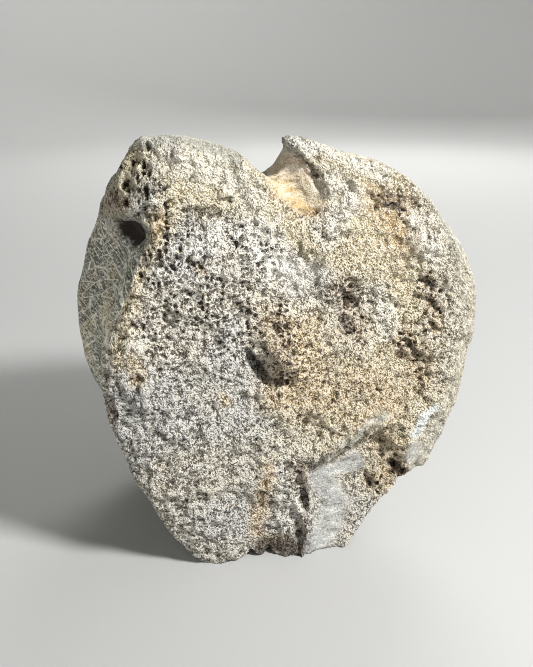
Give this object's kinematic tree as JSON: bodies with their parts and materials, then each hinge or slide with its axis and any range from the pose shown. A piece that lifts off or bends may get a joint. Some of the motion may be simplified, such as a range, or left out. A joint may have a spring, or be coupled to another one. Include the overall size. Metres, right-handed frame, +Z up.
{
  "type": "fossil dinosaur vertebra",
  "caption": "Fossil tail-vertebra centrum: a spool of bone with a broken spongy front face, a nerve-canal notch on top and a worn hollow low on one side.",
  "frame": {"origin": "middle of the bounding box's base, on the surface the bone stands on", "axes": "+Z up towards the nerve-canal notch, +Y along the spine away from the broken front face, +X to the right as seen from the front"},
  "size_m": [0.0996, 0.0666, 0.1078],
  "materials": {
    "fossil_bone": "matt, pitted and stained"
  },
  "bodies": {
    "root": {"vertebra": "fossil_bone"}
  },
  "joints": []
}
